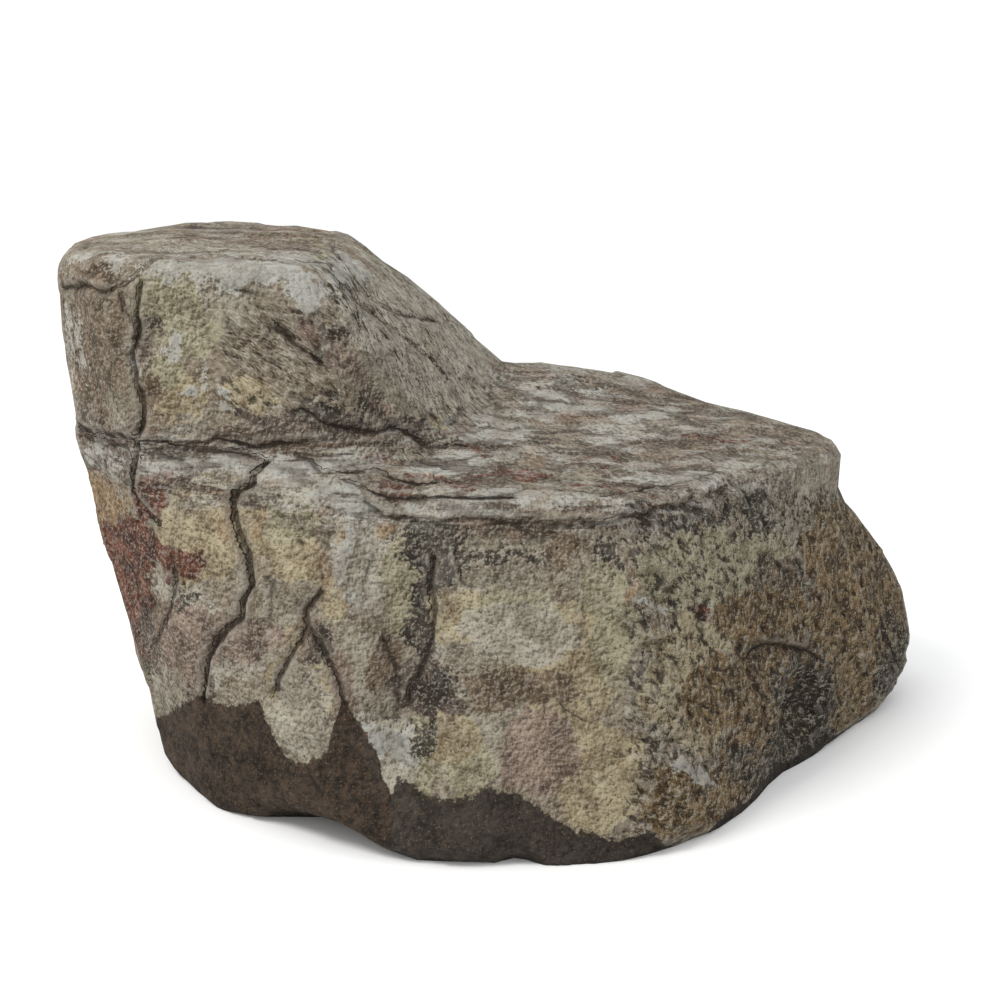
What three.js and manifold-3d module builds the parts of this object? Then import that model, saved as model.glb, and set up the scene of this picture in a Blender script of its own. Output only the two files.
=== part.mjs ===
// A weathered boulder shaped like a low seat: a tall head at the left, a broad shelf at the right, a flat foot.
// It is one stone, so it is one solid. Millimetres, +Z up, the long side along X, the front towards -Y.
import * as THREE from "three";
import { ConvexHull } from "three/addons/math/ConvexHull.js";
import { ImprovedNoise } from "three/addons/math/ImprovedNoise.js";
import { mergeVertices } from "three/addons/utils/BufferGeometryUtils.js";
import Module from "manifold-3d";

// The stone broke along flat joints, so each mass is the hull of the corners where its joints meet.
const shelfCorners = {
  rimLeft: [-480, -214, 488],
  rimFrontLeft: [-200, -306, 480],
  rimBossLeft: [-130, -345, 448],
  rimBossRight: [122, -358, 446],
  rimFrontRight: [250, -268, 452],
  rimRightFront: [335, -196, 455],
  rimRight: [518, 18, 430],
  rimRightBack: [524, 105, 449],
  rimBackRight: [396, 262, 458],
  rimBack: [286, 360, 474],
  rimBackMiddle: [100, 372, 518],
  rimBackCrest: [6, 352, 530],
  rimBackLeft: [-380, 372, 500],
  leftTop: [-624, 6, 462],
  leftTopBack: [-600, 215, 460],
  leftHigh: [-604, -2, 330],
  leftMiddle: [-543, -24, 190],
  leftMiddleBack: [-560, 230, 240],
  leftLow: [-508, -54, 88],
  leftHeel: [-506, -84, 30],
  footLeft: [-486, -132, -20],
  footLeftFront: [-400, -262, -20],
  bossWaistLeft: [-120, -378, 250],
  bossWaistRight: [185, -384, 230],
  footBossLeft: [-122, -452, -14],
  footBossMiddle: [-40, -436, -20],
  footBossRight: [90, -410, -20],
  footFrontRight: [240, -408, -20],
  footRightFront: [334, -292, -20],
  footRight: [388, -186, -20],
  footRightBack: [520, 330, -20],
  lowBack: [150, 452, -20],
  lowBackLeft: [-330, 410, -20],
  lowLeftBack: [-500, 190, -20],
  backBulge: [180, 490, 210],
  backBulgeLeft: [-300, 458, 260],
  backRight: [560, 330, 240],
};
const headCorners = {
  rimLeft: [-636, 0, 712],
  tipLeft: [-643, 0, 680],
  rimLeftFront: [-534, -190, 742],
  rimFront: [-425, -220, 742],
  rimRightFront: [-240, -204, 734],
  rimLeftBack: [-614, 96, 752],
  rimBackLeft: [-505, 270, 746],
  rimBackRight: [-300, 288, 748],
  rimRightBack: [-242, 232, 744],
  slopeCrest: [-98, 232, 641],
  slopeFootBack: [14, 262, 522],
  slopeFoot: [-20, -40, 470],
  slopeFootFront: [-70, -165, 455],
  footFront: [-210, -262, 440],
  footFrontLeft: [-478, -214, 440],
  footLeft: [-616, 0, 440],
  footLeftBack: [-594, 205, 440],
  footBack: [-400, 378, 440],
  footBackRight: [-60, 352, 440],
};
// The shoulder that bulges from the right end and overhangs its own foot.
const shoulderCorners = {
  topFront: [535, 62, 350],
  topBack: [510, 190, 330],
  crest: [556, 98, 232],
  tip: [650, 172, 190],
  tipLow: [678, 150, 90],
  chin: [668, 118, 54],
  chinFront: [590, 84, -20],
  footFront: [408, -150, -20],
  breast: [452, -112, 150],
  breastHigh: [440, -90, 300],
  back: [620, 330, 200],
  footBack: [590, 300, -20],
  inner: [300, 100, -20],
  innerTop: [300, 100, 330],
};
// The slab that stands out low along the back.
const heelCorners = {
  frontLeft: [-430, 150, -20],
  footLeft: [-405, 440, -20],
  footBackLeft: [-350, 505, -20],
  footBack: [-60, 535, -20],
  footBackRight: [110, 470, -20],
  frontRight: [160, 200, -20],
  topLeft: [-395, 420, 168],
  topBackLeft: [-340, 474, 178],
  topBack: [-70, 506, 205],
  topRight: [85, 440, 196],
  topFrontLeft: [-400, 200, 190],
  topFrontRight: [120, 220, 200],
};

// How far weather has rounded the edges of a mass, and filled the inner corners between two masses.
const edgeWear = 8;
const headEdgeWear = 8;
const jointFill = 13;
// Below this height the foot is cut flat, so that the stone stands on a real face.
const footCut = 0;
// Low swells and hollows all over: the spacing and the height of each layer of them.
const swells = [
  { spacing: 260, height: 9 },
  { spacing: 110, height: 5 },
  { spacing: 52, height: 2.5 },
];
// Places where stone has gone: a middle, half sizes, and how softly the edge of the hollow runs out.
const hollows = [
  { name: "niche under the right shoulder", middle: [440, -152, 94], half: [52, 66, 66], soft: 9 },
  { name: "valley left of the boss", middle: [-128, -462, 280], half: [52, 100, 200], soft: 20 },
  { name: "undercut left of the boss", middle: [-275, -430, -20], half: [140, 146, 66], soft: 10 },
  { name: "notch in the boss's foot", middle: [20, -452, -8], half: [36, 52, 34], soft: 7 },
  { name: "step in the shelf's back rim", middle: [350, 296, 482], half: [62, 86, 27], soft: 8 },
];

// The net of triangles: the block of space that it is drawn in and the size of its cells.
const netBottom = [-720, -520, -90];
const netTop = [760, 600, 820];
const netCell = 29;
// How often the net is evened out, how far a point goes towards the middle of its neighbours each time,
// how much closer an edge has to come before it is turned, and twice the least area that turning may leave.
const settleRounds = 22;
const evenShare = 0.6;
const turnRounds = 3;
const turnGain = 0.15;
const leastDoubleArea = 60;
// The distance to the stone is sloped off over this far to find which way its surface faces.
const slopeStep = 2;
// The block of ground that cuts the foot flat: its length, width and depth.
const ground = [3000, 3000, 400];

// Flat faces of a hull that turn less than this from each other count as one joint.
const sameFaceCosine = Math.cos(THREE.MathUtils.degToRad(0.8));

function jointsOf(corners) {
  const points = Object.values(corners).map((c) => new THREE.Vector3(...c));
  const joints = [];
  for (const face of new ConvexHull().setFromPoints(points).faces) {
    const offset = face.normal.dot(face.midpoint);
    const same = joints.find((j) => j.normal.dot(face.normal) > sameFaceCosine);
    if (same) same.offset = Math.max(same.offset, offset);
    else joints.push({ normal: face.normal.clone(), offset });
  }
  return joints;
}

// The largest of the values, with the step from one to the next rounded off over about `soft`.
function softMax(values, soft) {
  const top = Math.max(...values);
  let sum = 0;
  for (const v of values) sum += Math.exp((v - top) / soft);
  return top + soft * Math.log(sum);
}

function softMin(values, soft) {
  return -softMax(
    values.map((v) => -v),
    soft,
  );
}

// How far a point lies outside a mass, or inside it where negative.
function massDistance(joints, point, wear) {
  return softMax(
    joints.map((j) => j.normal.dot(point) - j.offset),
    wear,
  );
}

function hollowDistance(hollow, point) {
  const [x, y, z] = hollow.middle.map((m, i) => (point.getComponent(i) - m) / hollow.half[i]);
  return (Math.hypot(x, y, z) - 1) * Math.min(...hollow.half);
}

const noise = new ImprovedNoise();

function swellAt(point) {
  let height = 0;
  for (const s of swells) {
    height += s.height * noise.noise(point.x / s.spacing, point.y / s.spacing, point.z / s.spacing);
  }
  return height;
}

const shelf = jointsOf(shelfCorners);
const head = jointsOf(headCorners);
const shoulder = jointsOf(shoulderCorners);
const heel = jointsOf(heelCorners);

function stoneDistance(point) {
  const masses = softMin(
    [
      massDistance(shelf, point, edgeWear),
      massDistance(head, point, headEdgeWear),
      massDistance(shoulder, point, edgeWear),
      massDistance(heel, point, edgeWear),
    ],
    jointFill,
  );
  let distance = masses - swellAt(point);
  for (const hollow of hollows) {
    distance = softMax([distance, -hollowDistance(hollow, point)], hollow.soft);
  }
  return distance;
}

function outwardAt(point) {
  const slope = new THREE.Vector3();
  for (let axis = 0; axis < 3; axis++) {
    const ahead = point.clone().setComponent(axis, point.getComponent(axis) + slopeStep);
    const behind = point.clone().setComponent(axis, point.getComponent(axis) - slopeStep);
    slope.setComponent(axis, stoneDistance(ahead) - stoneDistance(behind));
  }
  return slope.normalize();
}

// The places of a grid over the block, each with its distance to the stone.
function distanceGrid() {
  const size = netTop.map((top, axis) => Math.ceil((top - netBottom[axis]) / netCell) + 1);
  const bottom = new THREE.Vector3(...netBottom);
  const placeOf = (cell) => new THREE.Vector3(...cell).multiplyScalar(netCell).add(bottom);
  const distances = new Float64Array(size[0] * size[1] * size[2]);
  const indexOf = ([i, j, k]) => (k * size[1] + j) * size[0] + i;
  const corners = [];
  for (let k = 0; k < size[2]; k++) {
    for (let j = 0; j < size[1]; j++) {
      for (let i = 0; i < size[0]; i++) corners.push([i, j, k]);
    }
  }
  for (const corner of corners) distances[indexOf(corner)] = stoneDistance(placeOf(corner));
  const isInner = (corner) => corner.every((n, axis) => n > 0 && n < size[axis] - 1);
  return { placeOf, insideAt: (corner) => distances[indexOf(corner)] < 0, corners: corners.filter(isInner) };
}

// A net of triangles over the stone: a point in every cell that the surface passes through, joined to the
// points of the cells beside it, then evened out along the surface.
function netGeometry() {
  const { placeOf, insideAt, corners } = distanceGrid();
  const points = [];
  const cellPoint = new Map();
  const pointOf = (cell) => {
    const key = cell.join(",");
    if (!cellPoint.has(key)) {
      cellPoint.set(key, points.length);
      points.push(placeOf(cell.map((n) => n + 0.5)));
    }
    return cellPoint.get(key);
  };
  const faces = [];
  for (const start of corners) {
    for (let axis = 0; axis < 3; axis++) {
      const end = start.map((n, m) => (m === axis ? n + 1 : n));
      if (insideAt(start) === insideAt(end)) continue;
      const ring = ringOf(start, axis).map(pointOf);
      if (insideAt(end)) ring.reverse();
      faces.push([ring[0], ring[1], ring[2]], [ring[0], ring[2], ring[3]]);
    }
  }
  for (let round = 0; round < settleRounds; round++) evenOut(points, faces);
  for (let round = 0; round < turnRounds; round++) {
    turnEdges(points, faces);
    evenOut(points, faces);
  }
  turnEdges(points, faces);
  const geometry = new THREE.BufferGeometry().setFromPoints(points);
  geometry.setIndex(faces.flat());
  return geometry;
}

// The four cells round the grid line that leaves a corner along an axis, in turning order.
function ringOf(corner, axis) {
  const across = (axis + 1) % 3;
  const up = (axis + 2) % 3;
  const steps = [
    [-1, -1],
    [0, -1],
    [0, 0],
    [-1, 0],
  ];
  return steps.map(([stepAcross, stepUp]) => {
    const cell = [...corner];
    cell[across] += stepAcross;
    cell[up] += stepUp;
    return cell;
  });
}

// Moves each point towards the middle of its neighbours, along the surface, and back onto the stone.
function evenOut(points, faces) {
  const sums = points.map(() => new THREE.Vector3());
  const counts = points.map(() => 0);
  for (const face of faces) {
    face.forEach((a, k) => {
      const b = face[(k + 1) % 3];
      sums[a].add(points[b]);
      counts[a]++;
    });
  }
  points.forEach((point, i) => {
    const outward = outwardAt(point);
    const along = sums[i].divideScalar(counts[i]).sub(point);
    along.addScaledVector(outward, -along.dot(outward));
    point.addScaledVector(along, evenShare);
    point.addScaledVector(outward, -stoneDistance(point));
  });
}

// Turns the edge between two triangles where its other way lies closer to the stone, so that edges run
// along ridges.
function turnEdges(points, faces) {
  const sides = new Map();
  faces.forEach((face, f) => {
    face.forEach((a, k) => sides.set(a + "," + face[(k + 1) % 3], f));
  });
  const gapAt = (a, b) => Math.abs(stoneDistance(points[a].clone().add(points[b]).multiplyScalar(0.5)));
  const touched = new Set();
  for (const [side, f] of sides) {
    const [a, b] = side.split(",").map(Number);
    const g = sides.get(b + "," + a);
    if (a > b || touched.has(f) || touched.has(g)) continue;
    const c = faces[f].find((v) => v !== a && v !== b);
    const d = faces[g].find((v) => v !== a && v !== b);
    if (sides.has(c + "," + d) || sides.has(d + "," + c)) continue;
    if (gapAt(c, d) > gapAt(a, b) - turnGain || !convexAcross(points, a, b, c, d)) continue;
    faces[f] = [c, a, d];
    faces[g] = [d, b, c];
    touched.add(f).add(g);
  }
}

// Whether both triangles would keep a fair shape and face the same way if edge a-b became c-d.
function convexAcross(points, a, b, c, d) {
  const normalOf = (p, q, r) => {
    const side = points[q].clone().sub(points[p]);
    return side.cross(points[r].clone().sub(points[p]));
  };
  const before = normalOf(a, b, c).add(normalOf(b, a, d)).normalize();
  return [normalOf(c, a, d), normalOf(d, b, c)].every((after) => after.dot(before) > leastDoubleArea);
}

const wasm = await Module();
wasm.setup();

function solidOf(geometry) {
  const bare = geometry.clone();
  bare.deleteAttribute("normal");
  bare.deleteAttribute("uv");
  const merged = mergeVertices(bare);
  return new wasm.Manifold(
    new wasm.Mesh({
      numProp: 3,
      vertProperties: merged.getAttribute("position").array,
      triVerts: new Uint32Array(merged.index.array),
    }),
  );
}

function geometryOf(solid) {
  const mesh = solid.getMesh();
  const geometry = new THREE.BufferGeometry();
  geometry.setAttribute("position", new THREE.BufferAttribute(mesh.vertProperties, 3));
  geometry.setIndex(new THREE.BufferAttribute(mesh.triVerts, 1));
  return geometry;
}

function boulderGeometry() {
  const block = new THREE.BoxGeometry(...ground);
  block.translate(0, 0, footCut - ground[2] / 2);
  return geometryOf(solidOf(netGeometry()).subtract(solidOf(block)));
}

const geometry = boulderGeometry();
geometry.computeBoundingBox();
geometry.computeVertexNormals();

const stone = new THREE.MeshStandardMaterial({ color: 0x968a78, roughness: 0.95, metalness: 0 });
const boulder = new THREE.Mesh(geometry, stone);
boulder.name = "boulder";
// The origin is the middle of the stone's length and width, on the ground.
const { min, max } = geometry.boundingBox;
boulder.position.set(-(min.x + max.x) / 2, -(min.y + max.y) / 2, -min.z);

const group = new THREE.Group();
group.add(boulder);
export default group;
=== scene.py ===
"""Dresses the weathered boulder: its worn relief, cracks, beds, stains and lichen, with painted light and
shade on its grain, hollows, ridges, niche and far lobe, on a pale studio floor.
"""
import itertools
import math

import bpy
import numpy as np
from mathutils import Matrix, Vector
from mathutils.bvhtree import BVHTree


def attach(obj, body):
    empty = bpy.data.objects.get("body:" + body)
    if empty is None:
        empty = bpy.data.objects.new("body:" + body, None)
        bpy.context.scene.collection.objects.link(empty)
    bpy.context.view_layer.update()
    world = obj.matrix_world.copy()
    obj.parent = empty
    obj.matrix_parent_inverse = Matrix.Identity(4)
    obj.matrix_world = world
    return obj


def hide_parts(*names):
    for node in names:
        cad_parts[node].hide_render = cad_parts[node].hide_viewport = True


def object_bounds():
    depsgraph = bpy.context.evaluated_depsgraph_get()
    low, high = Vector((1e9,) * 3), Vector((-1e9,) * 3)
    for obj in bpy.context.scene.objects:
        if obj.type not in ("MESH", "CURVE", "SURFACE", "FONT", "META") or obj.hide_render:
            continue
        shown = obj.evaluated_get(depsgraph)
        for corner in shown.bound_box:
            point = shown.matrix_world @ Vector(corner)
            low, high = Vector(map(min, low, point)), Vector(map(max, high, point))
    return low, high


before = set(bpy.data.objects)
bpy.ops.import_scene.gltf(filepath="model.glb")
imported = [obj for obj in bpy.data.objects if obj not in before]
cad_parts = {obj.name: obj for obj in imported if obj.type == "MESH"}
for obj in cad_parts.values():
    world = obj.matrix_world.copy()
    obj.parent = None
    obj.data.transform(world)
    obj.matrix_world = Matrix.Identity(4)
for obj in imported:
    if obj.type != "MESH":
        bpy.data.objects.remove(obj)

CAD_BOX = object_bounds()
NODE = "boulder"
MM = 0.001

# The camera stands where the photograph's did, in metres, looking along +Y and pitched down.
CAMERA_PLACE = Vector((-0.017, -2.168, 0.93))
CAMERA_PITCH = math.radians(15.0)
# The focal length and the side of the photograph's frame, in its pixels.
FOCAL = 1500.0
FRAME_SIDE = 1000.0
SENSOR_MM = 36.0

# The fine mesh: its voxel, how often it is smoothed, and the most triangles it keeps.
VOXEL = 3.6 * MM
SMOOTH_ROUNDS = 14
SMOOTH_SHARE = 0.6
MOST_TRIANGLES = 196000
# The foot stays flat below this height, and the stone stays this far inside its box, in metres.
FOOT_HEIGHT = 2 * MM
BOX_MARGIN = 0.2 * MM

# Cracks that the photograph shows: half width and depth in millimetres, then points in its pixels.
CRACKS = {
    "main upright, head": (2.3, 10, [
        (189, 255), (162, 257), (146, 264), (138, 275), (135, 292), (134, 314), (135, 333), (130, 359),
        (134, 373), (142, 406), (142, 424), (133, 453), (130, 471), (132, 490), (138, 502), (158, 524)]),
    "head rim": (1.8, 5, [(189, 255), (224, 254), (254, 257), (295, 259), (322, 264)]),
    "plateau line": (1.2, 3, [(81, 247), (132, 248), (183, 251), (234, 249)]),
    "left slab, across": (2.2, 7, [(62, 288), (83, 287), (105, 290), (118, 284), (138, 270)]),
    "left slab, down": (1.8, 6, [(118, 290), (122, 306), (130, 322), (134, 331)]),
    "left slab, short": (1.0, 3, [(107, 363), (105, 384), (105, 404)]),
    "bedding, left": (2.3, 7, [
        (79, 429), (115, 437), (138, 439), (154, 442), (183, 446), (215, 439), (244, 444), (260, 445),
        (305, 439)]),
    "bedding, left low": (1.8, 5, [(79, 436), (115, 446), (138, 453), (154, 455), (179, 458)]),
    "bedding, loop": (1.7, 5, [(195, 449), (217, 453), (244, 453), (267, 461), (252, 469)]),
    "bedding, head foot": (2.3, 6, [
        (306, 412), (327, 424), (347, 427), (376, 431), (394, 427), (414, 435), (427, 443), (465, 445)]),
    "bedding, shelf rim": (2.1, 6, [
        (294, 453), (310, 459), (322, 469), (343, 471), (376, 469), (394, 478), (420, 484), (465, 480)]),
    "bedding, rim low": (1.7, 5, [(345, 478), (376, 492), (404, 500), (441, 498), (474, 498), (511, 498)]),
    "bedding, rim middle": (1.3, 4, [(420, 462), (455, 466), (495, 466), (530, 476), (570, 478)]),
    "bedding, rim right": (1.3, 4, [(560, 490), (600, 496), (640, 489), (680, 484), (712, 474)]),
    "wide, left front": (3.4, 13, [
        (267, 461), (252, 471), (250, 482), (233, 492), (230, 502), (233, 522), (240, 539), (246, 551),
        (248, 567), (250, 584), (242, 600), (238, 616), (223, 629), (213, 641), (207, 661), (203, 686),
        (201, 700)]),
    "far left": (1.5, 5, [(170, 555), (174, 580), (172, 596), (164, 620), (158, 635), (154, 645)]),
    "far left, short": (1.2, 4, [(125, 559), (136, 576), (138, 596), (142, 604)]),
    "front middle": (2.1, 8, [
        (319, 592), (307, 612), (307, 627), (303, 641), (284, 665), (278, 676), (276, 690)]),
    "front middle, branch": (2.0, 7, [(307, 627), (323, 649), (331, 669), (340, 690), (346, 704)]),
    "valley": (2.6, 9, [
        (432, 560), (429, 588), (431, 607), (427, 627), (422, 653), (414, 676), (408, 700)]),
    "valley foot": (1.3, 4, [(383, 640), (392, 665), (398, 690), (396, 715)]),
    "head groove": (3.2, 8, [(279, 327), (297, 345), (320, 363)]),
    "slope, upper": (1.6, 5, [(331, 241), (343, 261), (363, 288), (384, 306), (404, 314), (441, 322)]),
    "slope, middle": (1.7, 5, [
        (327, 263), (339, 282), (355, 298), (376, 314), (394, 329), (414, 343), (435, 361), (455, 390),
        (463, 406)]),
    "boss lip": (1.2, 4, [(516, 525), (535, 533), (561, 533), (582, 545)]),
    "boss, short": (0.9, 3, [(558, 702), (568, 710), (582, 718)]),
    "right face, top": (1.3, 4, [(727, 473), (740, 475), (746, 491), (752, 505)]),
    "niche arch": (1.8, 7, [(749, 655), (755, 647), (778, 643), (804, 649), (818, 658)]),
    "niche side": (1.4, 5, [(749, 672), (755, 686), (763, 696), (767, 730)]),
    "far lobe": (1.5, 5, [(871, 578), (878, 602), (886, 635), (900, 668)]),
}

# Steps in the surface that the photograph shows: the side that stands proud is the upper or the left one.
# Height in millimetres, reach in millimetres, then points in its pixels.
LEDGES = {
    "shelf rim over the boss": (11, 24, [
        (345, 486), (385, 512), (430, 518), (480, 516), (540, 519), (600, 521), (650, 508), (700, 496),
        (740, 480)]),
    "head foot": (6, 24, [
        (79, 432), (115, 440), (154, 444), (183, 447), (244, 446), (305, 441), (347, 430)]),
    "head band": (5, 20, [(215, 284), (250, 290), (285, 300), (318, 318)]),
    "niche edge": (9, 20, [(749, 655), (778, 643), (804, 649), (820, 660)]),
    "ridge on the left front": (6, 22, [(345, 492), (338, 530), (322, 560), (325, 590), (340, 615)]),
    "right foot": (5, 24, [(660, 770), (700, 762), (745, 770), (768, 745)]),
    "right face's edge": (12, 26, [(858, 690), (870, 655), (868, 620), (858, 585), (843, 545), (828, 510)]),
    "boss lip": (6, 14, [(500, 528), (535, 534), (560, 535), (584, 548)]),
}

# Joints that run through the hidden sides: a point on each, the way it faces, its reach, in metres,
# then its half width and depth in millimetres.
HIDDEN_JOINTS = {
    "back, upright": ((-0.08, 0.43, 0.25), (1.0, 0.1, 0.3), 0.36, 2.4, 9),
    "back, slanting": ((0.30, 0.38, 0.28), (0.55, 0.2, -0.8), 0.30, 1.7, 6),
    "head, back": ((-0.42, 0.26, 0.60), (0.9, 0.0, 0.35), 0.26, 2.0, 7),
    "left end": ((-0.56, 0.10, 0.28), (0.1, 1.0, 0.25), 0.30, 2.2, 8),
    "left end, low": ((-0.50, 0.25, 0.16), (-0.3, 0.5, 0.8), 0.22, 1.4, 5),
    "right end": ((0.58, 0.16, 0.26), (0.2, 0.75, 0.6), 0.26, 1.9, 7),
    "shelf top": ((0.22, 0.22, 0.48), (0.65, -0.75, 0.1), 0.24, 1.2, 4),
}

# Stains, lichen and bare stone: patches in the photograph's pixels, each a middle and half sizes,
# and in some cases a lean in degrees from the level, clockwise. The purple, umber and black patches in the
# niche and on the far lobe are painted shade.
PATCHES = {
    "cream": [
        (178, 398, 30, 34), (108, 500, 17, 26), (284, 548, 40, 36), (208, 528, 44, 50), (560, 660, 60, 66),
        (595, 770, 46, 60), (322, 600, 16, 30), (470, 620, 40, 30), (440, 420, 30, 16), (200, 560, 30, 30),
        (690, 700, 44, 50), (690, 640, 50, 24), (250, 395, 26, 20), (455, 735, 30, 30), (300, 690, 30, 60)],
    "green": [
        (168, 300, 30, 40), (190, 330, 34, 26), (168, 372, 20, 22), (516, 618, 58, 34), (302, 478, 36, 24),
        (614, 640, 26, 50), (290, 520, 40, 26), (600, 590, 22, 26), (470, 772, 26, 22),
        (372, 290, 34, 16, 42), (420, 345, 60, 10, 42), (370, 560, 16, 22), (690, 570, 60, 40),
        (440, 470, 30, 10), (760, 560, 40, 30), (410, 580, 30, 50), (410, 760, 30, 40),
        (338, 262, 40, 16, 40)],
    "pale": [
        (362, 550, 24, 70), (390, 765, 30, 40), (520, 630, 60, 36), (180, 600, 20, 20), (290, 480, 70, 20),
        (301, 708, 28, 46), (240, 650, 42, 30), (372, 335, 40, 20, 45), (205, 645, 26, 40),
        (400, 350, 26, 50, -45), (560, 400, 60, 16), (640, 430, 70, 14), (470, 470, 60, 16),
        (340, 460, 60, 12), (320, 470, 26, 14), (230, 245, 90, 8), (420, 500, 80, 9),
        (450, 330, 60, 30, 40), (435, 380, 80, 30, 42), (385, 320, 80, 30, 42)],
    "brown": [
        (97, 340, 32, 74), (100, 272, 32, 16), (148, 392, 12, 24), (536, 530, 48, 16), (560, 556, 26, 12),
        (520, 692, 60, 22), (386, 653, 15, 30), (780, 600, 26, 50), (640, 392, 40, 7), (250, 234, 76, 8, 3),
        (312, 640, 16, 24), (100, 428, 32, 12), (690, 450, 60, 10), (165, 620, 14, 30), (745, 700, 20, 50),
        (240, 440, 90, 8), (150, 425, 40, 12)],
    "purple": [
        # The purple patches in the niche, round (800, 720), and on the far lobe, beyond 870 across, are
        # painted shade.
        (802, 704, 26, 48), (895, 640, 18, 60), (735, 822, 50, 20), (790, 770, 40, 26), (330, 428, 40, 14),
        (430, 552, 24, 28), (800, 720, 34, 50), (424, 620, 12, 60), (416, 680, 24, 26), (890, 610, 18, 70),
        (330, 345, 14, 24, 50), (300, 424, 58, 14), (716, 485, 24, 10), (398, 418, 34, 12, 20),
        (115, 455, 30, 8), (412, 690, 24, 30), (375, 405, 24, 10, 40), (500, 443, 36, 4), (640, 508, 34, 8),
        (152, 335, 10, 24), (204, 684, 5, 22), (322, 648, 14, 20), (440, 700, 26, 12)],
    "mauve": [
        (541, 758, 38, 42), (225, 640, 60, 26), (98, 462, 20, 9), (360, 440, 26, 8), (345, 690, 14, 34),
        (312, 340, 44, 9, 44), (352, 372, 50, 9, 46), (180, 640, 30, 40)],
    "ochre": [
        (343, 518, 6, 28), (321, 566, 7, 34), (229, 519, 6, 18), (252, 527, 7, 20), (90, 500, 20, 40),
        (386, 524, 8, 8), (627, 592, 5, 16), (596, 423, 16, 5), (548, 455, 16, 5), (118, 505, 9, 22),
        (72, 360, 5, 40), (840, 600, 30, 60, -14)],
    "umber": [
        # The umber patches in the niche, round (800, 690), and on the far lobe, at (880, 610), are painted
        # shade.
        (880, 610, 30, 60), (770, 620, 60, 30), (850, 590, 40, 90, -14), (800, 680, 70, 60),
        (838, 680, 40, 60), (705, 806, 70, 38), (715, 700, 30, 40), (765, 760, 40, 40), (770, 640, 26, 40),
        (730, 800, 40, 40)],
    "rust": [
        (122, 560, 36, 44), (114, 596, 24, 40), (158, 482, 26, 16), (150, 506, 20, 28, 20),
        (186, 562, 24, 20), (142, 600, 16, 40), (136, 640, 12, 34), (518, 472, 32, 9), (386, 463, 20, 6),
        (480, 452, 18, 6), (624, 467, 15, 5), (597, 484, 13, 4), (416, 484, 34, 6), (704, 609, 5, 9),
        (150, 545, 44, 16, 35), (657, 386, 10, 4), (720, 440, 26, 5), (460, 486, 30, 4)],
    "chalk": [
        (222, 266, 96, 11), (268, 274, 50, 17), (300, 288, 18, 20), (96, 256, 34, 7), (171, 345, 6, 9),
        (228, 408, 9, 16), (192, 394, 6, 8), (204, 380, 4, 16), (73, 346, 6, 26), (563, 405, 42, 10),
        (620, 443, 26, 7), (505, 432, 34, 7), (446, 466, 38, 11), (205, 463, 90, 14), (349, 560, 5, 44),
        (352, 500, 44, 16), (300, 464, 60, 14), (490, 503, 100, 8), (676, 482, 56, 9), (370, 750, 11, 36),
        (394, 752, 22, 14), (692, 772, 24, 9), (648, 604, 10, 5), (139, 355, 5, 12), (345, 268, 20, 14, 40),
        (570, 385, 30, 5), (660, 415, 40, 5), (98, 456, 24, 12)],
    "black": [
        (432, 545, 34, 34), (496, 556, 26, 6), (430, 580, 9, 26), (758, 500, 16, 26), (646, 520, 30, 7),
        # The black patches in the niche, round (805, 720), and on the far lobe, at (893, 650), are painted
        # shade.
        (612, 552, 10, 12), (188, 596, 5, 7), (145, 634, 9, 32), (804, 746, 34, 34), (806, 700, 30, 44),
        (424, 620, 10, 50), (780, 770, 40, 26), (320, 418, 20, 6), (420, 738, 14, 12), (495, 443, 34, 3),
        (352, 296, 26, 4, 50), (893, 650, 12, 30), (332, 652, 10, 12), (575, 382, 18, 3),
        (430, 690, 24, 10), (700, 520, 40, 8)],
}
# Where thin beds or a steep grain show as streaks: patches as above.
STREAKED = [(395, 330, 105, 46, 43), (430, 300, 80, 34, 43), (440, 395, 60, 30, 30), (272, 352, 62, 34, 34)]

# Swells and dents that the photograph shows: middle and half sizes in its pixels, then a height in
# millimetres that is below 0 for a dent, and in some cases a lean in degrees from the level, clockwise.
SWELLS = {
    "recess under the shelf rim": (500, 540, 96, 18, -10),
    "recess right of the ridge": (368, 560, 18, 56, -9),
    "valley": (412, 640, 26, 84, -12),
    "valley foot": (392, 745, 22, 44, -5),
    "ridge on the left front": (338, 545, 12, 62, 8),
    "boss": (520, 665, 70, 80, 6),
    "rim over the boss": (520, 500, 120, 10, 5),
    "head brow": (240, 275, 90, 12, 5),
    "hollow under the head brow": (250, 350, 70, 34, -5),
    "left slab": (98, 350, 30, 70, -5),
    "slab beside the crack": (112, 520, 22, 70, 4),
    "right face, upper": (700, 570, 50, 44, 6),
    "right face, middle": (725, 660, 40, 26, -5),
    "right foot": (705, 790, 48, 34, 8),
    "niche": (800, 688, 34, 36, 8),
    "scar on the head": (152, 335, 9, 20, -5),
    "slope fold": (372, 345, 60, 12, 6, 44),
    "slope groove": (400, 372, 60, 9, -5, 48),
    "slope edge": (345, 300, 60, 8, 5, 50),
}

# The upper edge of the soil stain, from left to right, in the photograph's pixels.
SOIL_EDGE = [
    (150, 726), (169, 710), (187, 700), (202, 696), (222, 704), (238, 704), (259, 700), (268, 722),
    (277, 741), (293, 761), (304, 763), (316, 757), (326, 757), (332, 733), (342, 698), (351, 706),
    (365, 731), (377, 755), (383, 780), (392, 793), (398, 781), (421, 793), (447, 800), (470, 798),
    (488, 789), (507, 789), (527, 800), (549, 814), (576, 830), (596, 836), (621, 838), (649, 830),
    (668, 846), (700, 850)]
# From here rightwards the soil stain is a greyer brown, in the photograph's pixels.
SOIL_GREYER_FROM = 392.0
# Over this span the soil stain's edge leaves the photograph's and follows the ground.
SOIL_BY_HEIGHT = (690, 720)
# A field of patches or soil is kept as pixels from its edge, over this many pixels.
FIELD_REACH = 24.0

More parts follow.
